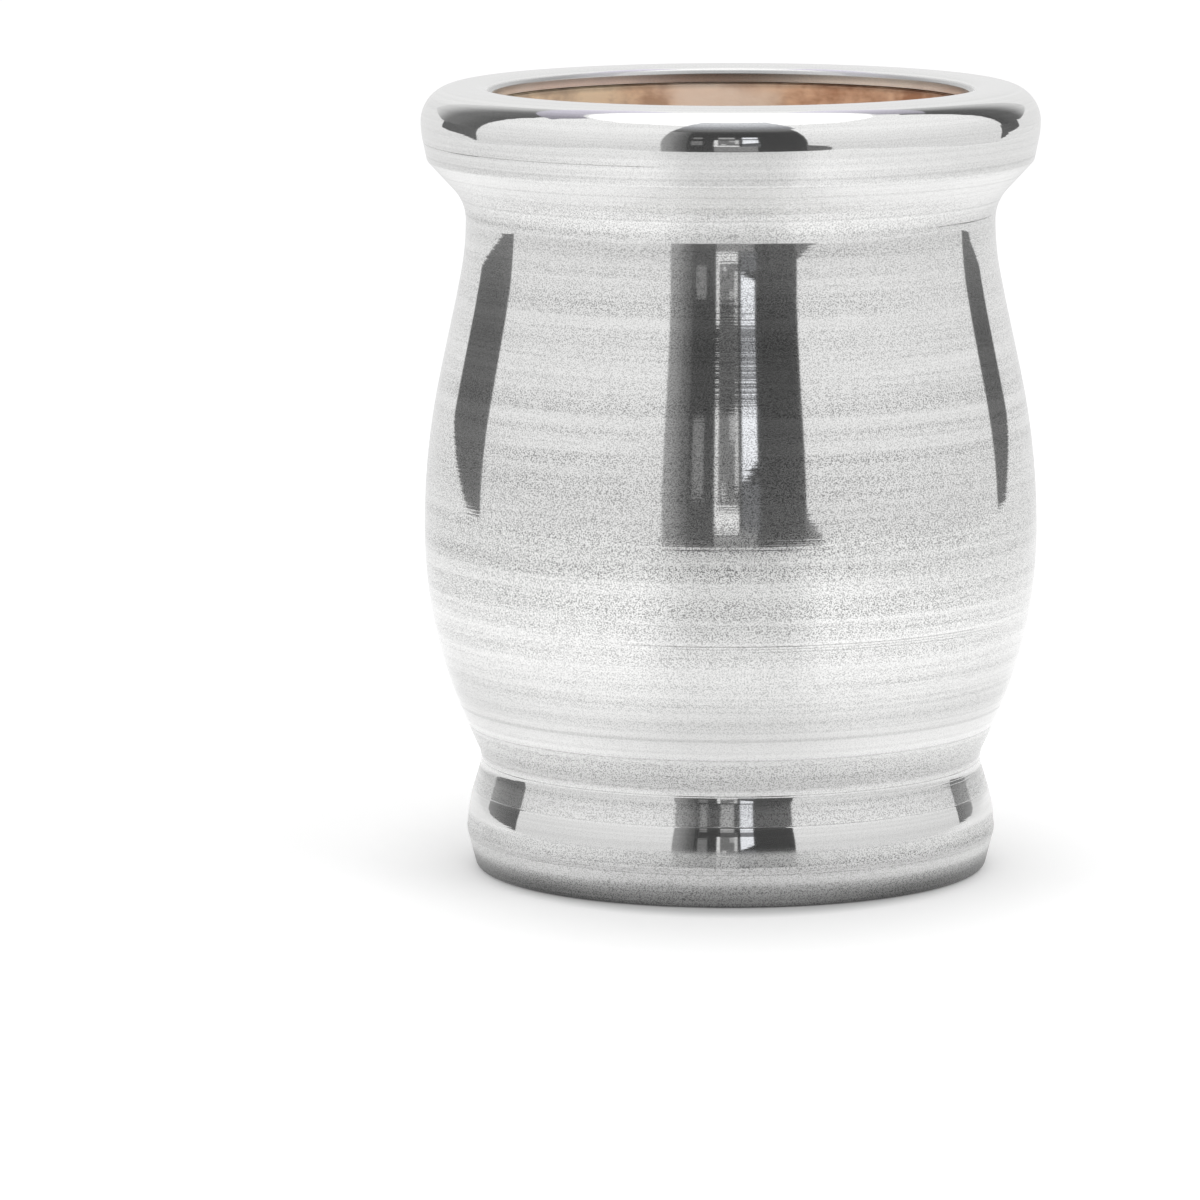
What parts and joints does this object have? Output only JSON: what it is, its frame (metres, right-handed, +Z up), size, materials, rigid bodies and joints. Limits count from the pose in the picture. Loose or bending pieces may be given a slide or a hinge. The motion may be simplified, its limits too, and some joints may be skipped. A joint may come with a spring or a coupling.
{
  "type": "mate cup",
  "caption": "Round cup for brewing mate: a turned wood liner inside a spun aluminium jacket with a waisted foot, a swelling barrel and a rolled rim.",
  "frame": {"origin": "centre of the flat base, on the surface that the cup stands on", "axes": "+Z up along the axis that the cup is turned on, out through the mouth; the cup looks the same from every side"},
  "size_m": [0.0786, 0.0784, 0.1],
  "materials": {
    "aluminium": "satin, spun, with fine rings round the axis",
    "wood": "turned, unvarnished"
  },
  "bodies": {
    "root": {"aluminium_jacket": "aluminium", "wood_cup": "wood"}
  },
  "joints": []
}
